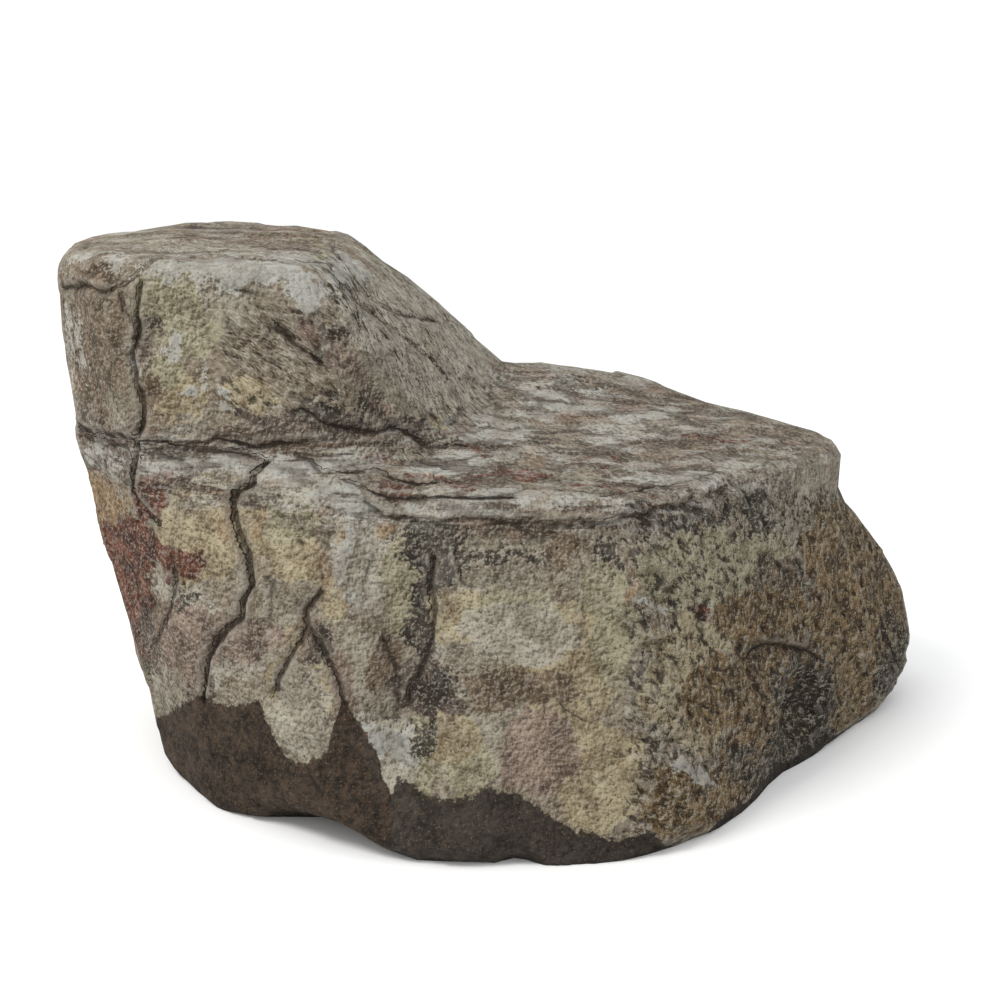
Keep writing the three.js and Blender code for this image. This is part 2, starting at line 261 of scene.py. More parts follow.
# Where the grain is coarse, in the photograph's pixels: the spans over which it begins and ends,
# across and down.
RIGHT_FACE_BEGINS = ((600, 655), (470, 510))
HEAD_FRONT_BEGINS = ((190, 240), (285, 320))
HEAD_FRONT_ENDS = ((330, 380), (405, 430))

# Heights in metres over which the thin beds begin and end: as relief, then as colour.
SHELF_BEDS = ((0.405, 0.44), (0.495, 0.52))
HEAD_BEDS = (0.69, 0.71)
SHELF_BED_COLOUR = ((0.40, 0.43), (0.50, 0.53))

# How the lines on the stone wander: height and spacing in metres, broad then fine.
WANDERING = [(4.5 * MM, 0.045), (1.6 * MM, 0.014)]
# A line of the photograph is followed in steps of this many of its pixels, and measured this near to it.
LINE_STEP = 12
LINE_REACH = 0.05
# Points that the photograph shows by less than this share are left out of its lines.
BARELY_SHOWN = 0.05


# Measuring in the photograph's frame

def to_photo(points):
    """The photograph's pixels (N, 2) of points (N, 3) in metres, and how deep they lie from the camera."""
    away = points - np.array(CAMERA_PLACE)
    sine, cosine = math.sin(CAMERA_PITCH), math.cos(CAMERA_PITCH)
    depth = away[:, 1] * cosine - away[:, 2] * sine
    up = away[:, 1] * sine + away[:, 2] * cosine
    half = FRAME_SIDE / 2
    return np.stack([half + FOCAL * away[:, 0] / depth, half - FOCAL * up / depth], 1), depth


def photo_ray(pixel):
    """The direction from the camera through a pixel of the photograph."""
    right, down = pixel[0] - FRAME_SIDE / 2, pixel[1] - FRAME_SIDE / 2
    sine, cosine = math.sin(CAMERA_PITCH), math.cos(CAMERA_PITCH)
    ray = Vector((right, FOCAL * cosine - down * sine, -FOCAL * sine - down * cosine))
    return ray.normalized()


def smooth_step(value, low, high):
    share = np.clip((value - low) / (high - low), 0.0, 1.0)
    return share * share * (3.0 - 2.0 * share)


def between(value, begins, ends):
    """From 0 to 1 over the first span, and back to 0 over the second."""
    return smooth_step(value, *begins) * (1 - smooth_step(value, *ends))


def facing_camera(points, normals):
    """From 1 on the side that the photograph shows to 0 on the sides that it hides."""
    to_camera = np.array(CAMERA_PLACE) - points
    to_camera /= np.linalg.norm(to_camera, axis=1, keepdims=True)
    edge_on, well_turned = 0.02, 0.19
    turned = smooth_step((normals * to_camera).sum(1), edge_on, well_turned)
    pixels, depth = to_photo(points)
    cell_side, cells = 10, 100
    cell = np.clip(pixels // cell_side, 0, cells - 1).astype(int)
    index = cell[:, 0] * cells + cell[:, 1]
    nearest = np.full(cells * cells, np.inf)
    np.minimum.at(nearest, index, depth)
    # A point this far in metres behind what covers it in the picture is hidden too.
    covered = 0.13
    return turned * (depth - nearest[index] < covered)


def leaning(pixels, patch, lean):
    """Pixels measured along and across a patch, in its half sizes; lean holds one angle or none."""
    u, v, half_u, half_v = patch
    angle = math.radians(sum(lean))
    du, dv = pixels[:, 0] - u, pixels[:, 1] - v
    across = du * math.cos(angle) + dv * math.sin(angle)
    down = dv * math.cos(angle) - du * math.sin(angle)
    return across / half_u, down / half_v


# Noise in space

def corner_hash(cell, order):
    """A number from 0 to 255 for each corner of a grid, the same every time."""
    mixed = order[cell[:, 0] & 255]
    mixed = order[(mixed + cell[:, 1]) & 255]
    return order[(mixed + cell[:, 2]) & 255]


def soft_noise(points, spacing, seed):
    """Smooth noise from about -1 to 1, with its swells about `spacing` metres apart."""
    random = np.random.default_rng(seed)
    order = random.permutation(256)
    slopes = random.normal(size=(256, 3))
    slopes /= np.linalg.norm(slopes, axis=1, keepdims=True)
    place = points / spacing + random.uniform(0, 50, 3)
    cell = np.floor(place).astype(int)
    inside = place - cell
    fade = inside ** 3 * (inside * (inside * 6 - 15) + 10)
    total = np.zeros(len(points))
    for corner in itertools.product((0, 1), repeat=3):
        slope = slopes[corner_hash(cell + np.array(corner), order)]
        weight = np.prod(np.where(corner, fade, 1 - fade), axis=1)
        total += weight * ((inside - np.array(corner)) * slope).sum(1)
    gain = 1.7
    return total * gain


def layered_noise(points, spacing, layers, seed, share=0.5):
    """Soft noise with finer layers on it, each half the spacing and `share` of the height of the last."""
    total = np.zeros(len(points))
    height = 1.0
    for layer in range(layers):
        total += height * soft_noise(points, spacing / 2 ** layer, seed + layer)
        height *= share
    return total


def stretched(points, along, times):
    """The points squeezed along a direction, so that noise read from them is longer that way."""
    along = np.array(along) / np.linalg.norm(along)
    return points - (1 - 1 / times) * (points @ along)[:, None] * along


def chips(points, spacing, seed):
    """The height in metres of flat chips about `spacing` metres across, each leaning its own way."""
    random = np.random.default_rng(seed)
    order = random.permutation(256)
    offsets = random.uniform(low=0.15, high=0.85, size=(256, 3))
    leans = random.normal(size=(256, 3))
    leans /= np.linalg.norm(leans, axis=1, keepdims=True)
    place = points / spacing
    cell = np.floor(place).astype(int)
    nearest = np.full(len(points), np.inf)
    height = np.zeros(len(points))
    for step in itertools.product((-1, 0, 1), repeat=3):
        other = cell + np.array(step)
        pick = corner_hash(other, order)
        away = place - other - offsets[pick]
        gap = (away ** 2).sum(1)
        closer = gap < nearest
        height = np.where(closer, (away * leans[pick]).sum(1), height)
        nearest = np.where(closer, gap, nearest)
    return height * spacing


# Lines on the surface

def surface_line(tree, pixels):
    """Where a line of the photograph's pixels lies on the stone: points in metres, and their pixels."""
    places, kept = [], []
    for start, end in zip(pixels, pixels[1:] + pixels[-1:]):
        pieces = max(1, round(math.dist(start, end) / LINE_STEP))
        for piece in range(pieces):
            pixel = Vector(start).lerp(Vector(end), piece / pieces)
            hit = tree.ray_cast(CAMERA_PLACE, photo_ray(pixel))[0]
            if hit is not None:
                places.append(hit)
                kept.append(pixel)
    return np.array(places), np.array(kept)


def line_distance(points, pixels, line, line_pixels):
    """Signed distance in metres from points to a line on the stone, below or right of it positive."""
    best = np.full(len(points), np.inf)
    side = np.ones(len(points))
    for a, b, a_pixel, b_pixel in zip(line, line[1:], line_pixels, line_pixels[1:]):
        along = b - a
        share = np.clip((points - a) @ along / max(along @ along, 1e-12), 0, 1)
        gap = np.linalg.norm(points - a - share[:, None] * along, axis=1)
        run = b_pixel - a_pixel
        cross = run[0] * (pixels[:, 1] - a_pixel[1]) - run[1] * (pixels[:, 0] - a_pixel[0])
        closer = gap < best
        side = np.where(closer, np.where(cross >= 0, 1.0, -1.0), side)
        best = np.where(closer, gap, best)
    return best * side


def near_line(points, line, reach):
    """Which points lie in the box round a line, grown by reach."""
    low, high = line.min(0) - reach, line.max(0) + reach
    return np.flatnonzero(((points > low) & (points < high)).all(1))


def wandered(points, seed):
    """The points moved a few millimetres to and fro, so that a line measured from them wanders."""
    moved = points
    for layer, (height, spacing) in enumerate(WANDERING):
        steps = [height * soft_noise(points, spacing, seed + 3 * layer + axis) for axis in range(3)]
        moved = moved + np.stack(steps, 1)
    return moved


class Features:
    """Everything that lies along lines of the stone, measured at given points."""

    def __init__(self, tree):
        self.cracks = self.on_stone(tree, CRACKS)
        self.ledges = self.on_stone(tree, LEDGES)

    @staticmethod
    def on_stone(tree, table):
        """Each line's two sizes in metres, its points on the stone, and their pixels."""
        return [(a * MM, b * MM, *surface_line(tree, pixels)) for a, b, pixels in table.values()]

    def crack_fields(self, points, shown):
        """(signed distance over half width, distance in metres, depth) of the crack nearest to each point."""
        moved = wandered(points, seed=70)
        pixels, _ = to_photo(moved)
        far_ratio, far_gap = 20.0, 1.0
        ratio = np.full(len(points), far_ratio)
        gap = np.full(len(points), far_gap)
        depth = np.zeros(len(points))
        found = [(w, d, self.front_distance(moved, pixels, shown, line, line_pixels))
                 for w, d, line, line_pixels in self.cracks]
        found += [(w * MM, d * MM, hidden_distance(moved, shown, place, facing, reach))
                  for place, facing, reach, w, d in HIDDEN_JOINTS.values()]
        widening = 0.95 + 0.75 * soft_noise(points, spacing=0.055, seed=77)
        widening = np.clip(widening + 0.35 * soft_noise(points, spacing=0.02, seed=78), 0.3, 2.0)
        for width, full_depth, (index, distance) in found:
            half_width = width * widening[index]
            closer = np.abs(distance) / half_width < np.abs(ratio[index])
            pick = index[closer]
            ratio[pick] = distance[closer] / half_width[closer]
            gap[pick] = np.abs(distance[closer])
            depth[pick] = full_depth
        return ratio, gap, depth

    @staticmethod
    def front_distance(points, pixels, shown, line, line_pixels):
        """(indices, signed distance) to a line of the photograph, near it only."""
        index = near_line(points, line, LINE_REACH)
        index = index[shown[index] > BARELY_SHOWN]
        return index, line_distance(points[index], pixels[index], line, line_pixels)

    @staticmethod
    def swell_height(points, shown):
        """How far the swells and dents raise or lower the surface, in metres."""
        pixels, _ = to_photo(wandered(points, seed=110))
        total = np.zeros(len(points))
        for u, v, half_u, half_v, height, *lean in SWELLS.values():
            across, down = leaning(pixels, (u, v, half_u, half_v), lean)
            total += height * MM * np.exp(-1.2 * (across ** 2 + down ** 2))
        return total * shown

    def ledge_height(self, points, shown):
        """How far the ledges raise or lower the surface, in metres."""
        sharpness, fading = 3.0 * MM, 0.05
        moved = wandered(points, seed=90)
        pixels, _ = to_photo(moved)
        total = np.zeros(len(points))
        for height, reach, line, line_pixels in self.ledges:
            index = near_line(moved, line, 3 * reach)
            index = index[shown[index] > BARELY_SHOWN]
            distance = line_distance(moved[index], pixels[index], line, line_pixels)
            ends = np.minimum(np.linalg.norm(moved[index] - line[0], axis=1),
                              np.linalg.norm(moved[index] - line[-1], axis=1))
            fade = np.exp(-np.abs(distance) / reach) * smooth_step(ends, 0.0, fading)
            step = -np.tanh(distance / sharpness)
            total[index] += 0.5 * height * step * fade
        return total


def hidden_distance(points, shown, place, facing, reach):
    """(indices, signed distance) to a joint that cuts the hidden sides, near its place only."""
    place, facing = np.array(place), np.array(facing)
    away = np.linalg.norm(points - place, axis=1)
    mostly_hidden, fading = 0.4, 0.02
    index = np.flatnonzero((away < reach) & (shown < mostly_hidden))
    near = points[index]
    distance = (near - place) @ (facing / np.linalg.norm(facing))
    distance += 0.022 * soft_noise(near, spacing=0.16, seed=31)
    distance += 0.007 * soft_noise(near, spacing=0.05, seed=32)
    ending = smooth_step(away[index], 0.7 * reach, reach)
    return index, distance + np.sign(distance) * fading * ending


# The fine mesh

def new_piece(name, mesh):
    piece = bpy.data.objects.new(name, mesh)
    bpy.context.scene.collection.objects.link(piece)
    return piece


def applied(piece):
    """The piece's mesh with its modifiers applied."""
    graph = bpy.context.evaluated_depsgraph_get()
    mesh = bpy.data.meshes.new_from_object(piece.evaluated_get(graph))
    piece.modifiers.clear()
    old = piece.data
    piece.data = mesh
    bpy.data.meshes.remove(old)
    return mesh


def read(items, field, width, kind=np.float32):
    values = np.empty(len(items) * width, kind)
    items.foreach_get(field, values)
    return values.reshape(-1, width).astype(np.float64 if kind is np.float32 else kind)


def place_points(mesh, points):
    mesh.vertices.foreach_set("co", points.astype(np.float32).ravel())
    mesh.update()


def averaged(values, edges, share=1.0):
    """Values (N, k) drawn towards the mean of their neighbours' by a share."""
    counts = np.bincount(edges.ravel(), minlength=len(values))[:, None]
    sums = np.empty_like(values)
    for column in range(values.shape[1]):
        gathered = np.bincount(edges[:, 0], values[edges[:, 1], column], len(values))
        gathered += np.bincount(edges[:, 1], values[edges[:, 0], column], len(values))
        sums[:, column] = gathered
    return values + share * (sums / np.maximum(counts, 1) - values)


def broad_normals(mesh, edges, rounds):
    """The mesh's normals, evened out over this many rounds of neighbours."""
    normals = read(mesh.vertex_normals, "vector", 3)
    for _ in range(rounds):
        normals = averaged(normals, edges)
    return normals / np.linalg.norm(normals, axis=1, keepdims=True)


def coarseness(points, normals, shown):
    """How coarse the grain is: strong on the right face and the head's front, weak on the worn tops."""
    pixels, _ = to_photo(points)
    u, v = pixels[:, 0], pixels[:, 1]
    right_face = smooth_step(u, *RIGHT_FACE_BEGINS[0]) * smooth_step(v, *RIGHT_FACE_BEGINS[1])
    head_front = between(v, HEAD_FRONT_BEGINS[1], HEAD_FRONT_ENDS[1])
    head_front *= between(u, HEAD_FRONT_BEGINS[0], HEAD_FRONT_ENDS[0])
    front = 0.45 + 0.55 * np.maximum(right_face, 0.6 * head_front)
    elsewhere = 0.62 + 0.3 * soft_noise(points, spacing=0.3, seed=12)
    worn = 1 - 0.6 * smooth_step(normals[:, 2], 0.78, 0.94)
    return (shown * front + (1 - shown) * elsewhere) * worn


def bed_level(points):
    """Heights in metres measured along the beds, which are gently bent."""
    return points[:, 2] + 0.014 * soft_noise(points, spacing=0.22, seed=41)


def bedding_steps(points, normals):
    """The height in metres of thin beds near the height of the shelf and at the top of the head."""
    level = bed_level(points) + 0.005 * soft_noise(points, spacing=0.06, seed=42)
    zone = np.maximum(between(level, *SHELF_BEDS), smooth_step(level, *HEAD_BEDS))
    bed, apart = 11.0 * MM, 0.08
    phase = level / bed + 0.6 * soft_noise(points, spacing=0.11, seed=43)
    within = phase - np.floor(phase)
    own_place = np.stack([points[:, 0], points[:, 1], np.floor(phase) * apart], 1)
    proud = soft_noise(own_place, spacing=0.09, seed=44)
    edge = np.minimum(within, 1 - within)
    steep = 1 - 0.55 * np.abs(normals[:, 2])
    return zone * steep * (2.2 * MM * proud - 1.6 * MM * np.exp(-(edge / 0.1) ** 2))


def relief(points, normals, shown, features):
    """How far the surface stands out from the plain solid at each point, in metres."""
    narrowest, rounding, inset = 1.0 * MM, 2.2 * MM, 1.5 * MM
    coarse = coarseness(points, normals, shown)
    uneven = 2.6 * MM * layered_noise(points, spacing=0.15, layers=3, seed=1)
    bends = [layered_noise(points, spacing=0.07, layers=2, seed=5 + 2 * axis) for axis in range(3)]
    bent = points + 0.014 * np.stack(bends, 1)
    broad_chips = 0.038 * chips(bent, spacing=0.085, seed=21)
    small_chips = 0.075 * coarse * chips(bent, spacing=0.034, seed=22)
    diagonal = stretched(points, along=(0.77, 0.0, -0.64), times=2.2)
    grain = layered_noise(diagonal, spacing=0.0155, layers=2, seed=8, share=0.6)
    crumbs = 0.5 * grain - 0.6 * np.abs(grain) + 0.2
    height = uneven + broad_chips + small_chips + (0.7 + 3.3 * coarse) * MM * crumbs
    height += bedding_steps(points, normals)
    height += features.ledge_height(points, shown)
    height += features.swell_height(points, shown)
    ratio, gap, depth = features.crack_fields(points, shown)
    half_width = gap / np.maximum(np.abs(ratio), 1e-6)
    width = np.maximum(half_width, narrowest) + rounding
    height -= depth * np.exp(-(gap / width) ** 2)
    return height - inset


def fine_stone():
    """The fine mesh of the stone, and what its features measured from."""
    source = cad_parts[NODE]
    piece = new_piece("stone", source.data.copy())
    piece.matrix_world = source.matrix_world
    remesh = piece.modifiers.new("fine", "REMESH")
    remesh.mode = "VOXEL"
    remesh.voxel_size = VOXEL
    mesh = applied(piece)
    edges = read(mesh.edges, "vertices", 2, np.int32)
    points = read(mesh.vertices, "co", 3)
    on_foot = points[:, 2] < FOOT_HEIGHT
    for _ in range(SMOOTH_ROUNDS):
        points = averaged(points, edges, SMOOTH_SHARE)
    points[on_foot, 2] = np.minimum(points[on_foot, 2], 0.5 * FOOT_HEIGHT)
    place_points(mesh, points)
    mesh.calc_loop_triangles()
    triangles = read(mesh.loop_triangles, "vertices", 3, np.int32)
    tree = BVHTree.FromPolygons(points.tolist(), triangles.tolist())
    features = Features(tree)
    normals = broad_normals(mesh, edges, rounds=4)
    shown = facing_camera(points, broad_normals(mesh, edges, rounds=12))
    sides_and_top = 1 - smooth_step(-normals[:, 2], 0.75, 0.95)
    height = relief(points, normals, shown, features) * sides_and_top
    moved = points + normals * height[:, None]
    low, high = np.array(CAD_BOX[0]), np.array(CAD_BOX[1])
    moved = np.clip(moved, low + BOX_MARGIN, high - BOX_MARGIN)
    moved[on_foot, 2] = 0.0
    place_points(mesh, moved)
    thin_out(piece, shown, len(triangles))
    return piece, features


def thin_out(piece, shown, triangles):
    """Fewer triangles, more of them kept on the side that the photograph shows."""
    group = piece.vertex_groups.new(name="thinning")
    spared, levels = 0.5, 10
    weights = 1.0 - spared * shown
    stepped = np.round(weights * levels).astype(int)
    for level in range(levels + 1):
        members = np.flatnonzero(stepped == level).tolist()
        if members:
            group.add(members, level / levels, "REPLACE")
    thin = piece.modifiers.new("thin out", "DECIMATE")
    thin.ratio = min(1.0, MOST_TRIANGLES / triangles)
    thin.vertex_group = group.name
    thin.vertex_group_factor = 1.0
    thin.use_collapse_triangulate = True
    applied(piece)
    piece.vertex_groups.clear()


# Fields that the material reads

def patch_field(pixels, patches):
    """Pixels inward from the edge of the nearest patch, over the field's reach."""
    steepness = 1.4
    best = np.full(len(pixels), -FIELD_REACH)
    for u, v, half_u, half_v, *lean in patches:
        across, down = leaning(pixels, (u, v, half_u, half_v), lean)
        inward = (1 - np.hypot(across, down)) * min(half_u, half_v)
        best = np.maximum(best, inward * steepness)
    return np.clip(best / FIELD_REACH, -1, 1)


# Where the hidden sides carry each stain: spacing in metres, how much of the surface, and a seed.
HIDDEN_STAINS = {
    "cream": (0.19, -0.05, 100),
    "green": (0.20, -0.08, 101),
    "pale": (0.15, -0.16, 102),
    "brown": (0.21, -0.06, 105),
    "purple": (0.19, -0.36, 106),
    "mauve": (0.17, -0.36, 108),
    "ochre": (0.10, -0.50, 103),
    "umber": (0.24, -0.22, 109),
    "rust": (0.15, -0.40, 104),
    "chalk": (0.11, -0.40, 110),
    "black": (0.10, -0.46, 107),
}


def stain_and_shade_fields(points, shown):
    """One field for each kind of stain, above 0 where the stain is; the patches in the niche and on the far
    lobe place painted shade.
    """
    contrast = 1.6
    broad_bend = [14.0 * soft_noise(points, spacing=0.07, seed=50 + axis) for axis in range(2)]
    fine_bend = [6.0 * soft_noise(points, spacing=0.025, seed=55 + axis) for axis in range(2)]
    pixels, _ = to_photo(points)
    pixels = pixels + np.stack(broad_bend, 1) + np.stack(fine_bend, 1)
    fields = {}
    for name, patches in PATCHES.items():
        spacing, level, seed = HIDDEN_STAINS[name]
        mottle = layered_noise(points, spacing, layers=3, seed=seed) + level
        hidden = np.clip(contrast * mottle, -1, 1)
        fields[name] = shown * patch_field(pixels, patches) + (1 - shown) * hidden
    slope = smooth_step(points[:, 2], 0.44, 0.5) * soft_noise(points, spacing=0.2, seed=111)
    fields["streaked"] = shown * patch_field(pixels, STREAKED) + (1 - shown) * slope
    return fields


def bedded(points, normals):
    """From 0 to 1, how plainly the thin level beds show: on the shelf and its rim, and on top of the head."""
    level = bed_level(points)
    rim = between(level, *SHELF_BED_COLOUR)
    flat = smooth_step(normals[:, 2], 0.6, 0.85) * smooth_step(level, 0.30, 0.36)
    return np.maximum(rim, flat * (1 - 0.5 * smooth_step(level, 0.60, 0.66)))


def soil_field(points, shown):
    """Above 0 where soil has stained the foot."""
    bend = 3.0 * soft_noise(points, spacing=0.03, seed=61)
    pixels, _ = to_photo(points)
    edge = np.array(SOIL_EDGE, float)
    front = (pixels[:, 1] + bend - np.interp(pixels[:, 0], edge[:, 0], edge[:, 1])) / FIELD_REACH
    height = 0.085 + 0.03 * layered_noise(points, spacing=0.2, layers=3, seed=62)
    pixel_size, lower = 1.6 * MM, 2.0
    hidden = (height - points[:, 2]) / (FIELD_REACH * pixel_size)
    right = smooth_step(pixels[:, 0], *SOIL_BY_HEIGHT)
    front = front * (1 - right) + (hidden - lower) * right
    return np.clip(shown * front + (1 - shown) * hidden, -1, 1)


def write_fields(piece, features):
    """Keeps on each point of the piece what the material reads there."""
    stain_reach, full_depth, full_relief, farthest, blur = 9 * MM, 8 * MM, 2.5 * MM, 12, 4
    mesh = piece.data
    points = read(mesh.vertices, "co", 3)
    edges = read(mesh.edges, "vertices", 2, np.int32)
    broad = broad_normals(mesh, edges, rounds=8)
    shown = facing_camera(points, broad)
    fields = stain_and_shade_fields(points, shown)
    fields["soil"] = soil_field(points, shown)
    pixels, _ = to_photo(points)
    greyer = smooth_step(pixels[:, 0], SOIL_GREYER_FROM - blur, SOIL_GREYER_FROM + blur)
    fields["greyer"] = shown * greyer
    ratio, gap, depth = features.crack_fields(points, shown)
    fields["crack"] = np.clip(ratio, -farthest, farthest)
    fields["crack_near"] = np.exp(-gap / stain_reach)
    fields["crack_deep"] = np.minimum(1, depth / full_depth)
    fields["coarse"] = coarseness(points, broad, shown)
    fields["bedded"] = bedded(points, broad)
    # How far each point lies below its smoothed neighbours: it places painted shade in hollows and a painted
    # highlight on ridges.
    smooth = points
    for _ in range(6):
        smooth = averaged(smooth, edges)
    fields["low"] = np.clip(((smooth - points) * broad).sum(1) / full_relief, -1, 1)
    for name, values in fields.items():
        attribute = mesh.attributes.new(name, "FLOAT", "POINT")
        attribute.data.foreach_set("value", values.astype(np.float32))


# Material

# Each stain's darker and lighter colour as the photograph shows them, how much it covers, how ragged its
# edge is, and what makes it ragged: one of three noises, the lumps' tops or the gaps between them.
# The purple, umber and black colours also serve as painted shade in the niche and on the far lobe.
STAIN_AND_SHADE_COLOURS = {
    "cream": ((120, 104, 79), (171, 158, 126), 0.88, 1.1, "first"),
    "green": ((118, 111, 87), (160, 153, 126), 0.88, 1.0, "second"),
    "pale": ((130, 122, 108), (169, 163, 149), 0.82, 1.2, "third"),
    "brown": ((76, 62, 48), (122, 104, 86), 0.92, 1.1, "first"),
    "purple": ((44, 36, 32), (94, 80, 71), 0.92, 1.1, "second"),
    "mauve": ((90, 73, 63), (142, 122, 108), 0.88, 1.2, "third"),
    "ochre": ((108, 80, 54), (148, 122, 90), 0.80, 0.9, "first"),
    "umber": ((78, 58, 34), (128, 105, 70), 0.92, 1.1, "second"),
    "chalk": ((146, 143, 134), (174, 173, 166), 0.92, 1.5, "tops"),
    "rust": ((60, 34, 26), (116, 68, 50), 0.97, 1.1, "third"),
    "black": ((38, 35, 30), (80, 75, 66), 0.86, 2.6, "gaps"),
}
# The bare stone's colours as the photograph shows them, and where each lies in the mottle's range.
BARE_STONE = [
    (0.28, (84, 76, 63)), (0.42, (113, 104, 89)), (0.51, (131, 122, 107)), (0.60, (147, 140, 124)),
    (0.74, (168, 163, 150))]
# Flakes of the thin beds: which share of them, from and to, how much they cover, and their colour.
FLAKES = [
    (0.02, 0.20, 0.44, (172, 169, 160)), (0.24, 0.38, 0.50, (134, 120, 106)),
    (0.38, 0.46, 0.58, (118, 94, 80))]
# The darker and lighter colour of the brown soil stain, then of the greyer one.
SOILS = [((24, 18, 14), (66, 51, 39)), ((30, 26, 23), (59, 52, 46))]
# Other colours as the photograph shows them, among them painted light and shade on the grain's lumps, in
# hollows and on ridges.
TINTS = {
    "weathered": (124, 108, 90),
    # Painted highlight and painted shade on the two sides of the grain's lumps, and painted shade between
    # them.
    "painted highlight on lump": (190, 185, 170),
    "shaded lump": (42, 36, 29),
    "painted shade between lumps": (40, 34, 28),
    "between flakes": (70, 59, 50),
    "pale bed": (168, 166, 159),
    "dark bed": (74, 63, 54),
    # Painted shade in the hollows and a painted highlight on the ridges of the relief.
    "hollow": (44, 38, 31),
    "ridge": (182, 177, 164),
    "crack's stain": (66, 53, 43),
    "crack": (34, 28, 24),
    "grit": (126, 104, 78),
}
# The studio light shows a colour this much lighter than it is, so each is mixed that much darker.
LIGHTENED = 1.14
# Grain is drawn out along a line that dips this steeply to the right, this many times as long as wide.
GRAIN_DIP = math.radians(40)
GRAIN_LENGTH = 1.9
STREAK_LENGTH = 3.4
# How closely the streaks and the flakes of the beds lie along X, Y and Z, and how far the flakes are torn.
BED_STREAKS = (9.0, 34.0, 120.0)
BED_FLAKES = (21.0, 27.0, 100.0)
TORN = (1.2, 1.2, 1.2)
# Each lump is painted lighter on the side that lies this way from its middle, where the light would fall, and
# darker on the other side, in metres.
PAINTED_LIGHT_SIDE = (-0.0015, -0.0006, 0.0018)
# How high the grain stands out as bumps, in metres.
BUMP_HEIGHT = 0.009


def linear(red, green, blue):
    """A colour given as 0 to 255 in sRGB, for a shader's socket."""
    shares = [value / 255 for value in (red, green, blue)]
    return tuple(((share + 0.055) / 1.055) ** 2.4 for share in shares) + (1.0,)


def stone_colour(red, green, blue):
    """A colour that comes out as the photograph's under the studio light."""
    return tuple(value / LIGHTENED for value in linear(red, green, blue)[:3]) + (1.0,)


class Shader:
    """Adds nodes to a material, so that it reads as a list of steps."""

    def __init__(self, material):
        material.use_nodes = True
        self.tree = material.node_tree
        self.tree.nodes.clear()

    def node(self, kind, sockets=(), **settings):
        node = self.tree.nodes.new("ShaderNode" + kind)
        for name, value in settings.items():
            setattr(node, name, value)
        for key, value in dict(sockets).items():
            self.feed(node.inputs[key], value)
        return node

    def feed(self, socket, value):
        if isinstance(value, bpy.types.NodeSocket):
            self.tree.links.new(value, socket)
        else:
            socket.default_value = value

    def sum(self, kind, a, b=0.0, c=0.0):
        return self.node("Math", {0: a, 1: b, 2: c}, operation=kind).outputs[0]

    def scaled(self, value, gain, lift):
        return self.sum("MULTIPLY_ADD", value, gain, lift)

    def product(self, *values):
        result = values[0]
        for value in values[1:]:
            result = self.sum("MULTIPLY", result, value)
        return result

    def remap(self, value, low, high, to_low=0.0, to_high=1.0):
        sockets = {"Value": value, "From Min": low, "From Max": high, "To Min": to_low, "To Max": to_high}
        return self.node("MapRange", sockets, interpolation_type="SMOOTHSTEP").outputs[0]

    def mix(self, factor, a, b):
        return self.node("Mix", {0: factor, 6: a, 7: b}, data_type="RGBA").outputs[2]

    def cover(self, colour, tint, *shares):
        """A colour with a tint of the stone laid over it, by the product of the shares."""
        return self.mix(self.product(*shares), colour, stone_colour(*tint))

    def blend(self, factor, a, b):
        return self.node("Mix", {0: factor, 2: a, 3: b}, data_type="FLOAT").outputs[0]

    def noise(self, where, scale, detail, rough=0.5, output="Fac"):
        sockets = {"Vector": where, "Scale": scale, "Detail": detail, "Roughness": rough}
        return self.node("TexNoise", sockets).outputs[output]

    def cells(self, where, scale):
        sockets = {"Vector": where, "Scale": scale}
        return self.node("TexVoronoi", sockets, feature="F1").outputs

    def spread(self, where, scales):
        return self.node("Mapping", {"Vector": where, "Scale": scales}).outputs[0]

    def field(self, name):
        return self.node("Attribute", attribute_name=name).outputs["Fac"]

    def ramp(self, value, stops):
        node = self.node("ValToRGB", {0: value})
        elements = node.color_ramp.elements
        while len(elements) < len(stops):
            elements.new(1.0)
        for element, (place, colour) in zip(elements, stops):
            element.position = place
            element.color = colour
        return node.outputs[0]


def drawn_out(s, where, times):
    """Places for a grain that is drawn out along its dip."""
    dip = {"Vector": where, "Rotation": (0.0, GRAIN_DIP, 0.0), "Scale": (times, 1.0, 1.0)}
    return s.node("Mapping", dip, vector_type="TEXTURE").outputs[0]


def lumps(s, where):
    """The height of the grain, from about 0 to 1: fine, crumbly, or drawn out where it is streaked."""
    long = drawn_out(s, where, GRAIN_LENGTH)
    grain = s.scaled(s.noise(long, scale=92.0, detail=4.0, rough=0.70), 1.7, -0.14)
    crumbly = s.scaled(s.cells(long, scale=122.0)["Distance"], -0.42, grain)
    fine = s.scaled(s.noise(where, scale=145.0, detail=3.0, rough=0.66), 1.5, -0.22)
    longer = drawn_out(s, where, STREAK_LENGTH)
    streaks = s.scaled(s.noise(longer, scale=125.0, detail=3.0, rough=0.68), 2.2, -0.50)
    height = s.blend(s.remap(s.field("coarse"), 0.45, 0.80, 0.10, 1.0), fine, crumbly)
    return s.blend(s.remap(s.field("streaked"), -0.25, 0.30, 0.0, 0.9), height, streaks)


def stained_and_shaded_colour(s, colour, shade, ragged):
    """A colour with each kind of stain laid over it, and with painted shade where the patches lie in the
    niche and on the far lobe.
    """
    for name, (dark, light, cover, raggedness, cause) in STAIN_AND_SHADE_COLOURS.items():
        edge = s.scaled(s.sum("SUBTRACT", ragged[cause], 0.5), 1.9 * raggedness, s.field(name))
        stain = s.mix(s.remap(shade, 0.36, 0.64), stone_colour(*dark), stone_colour(*light))
        colour = s.mix(s.remap(edge, -0.06, 0.10, 0.0, cover), colour, stain)
    return colour


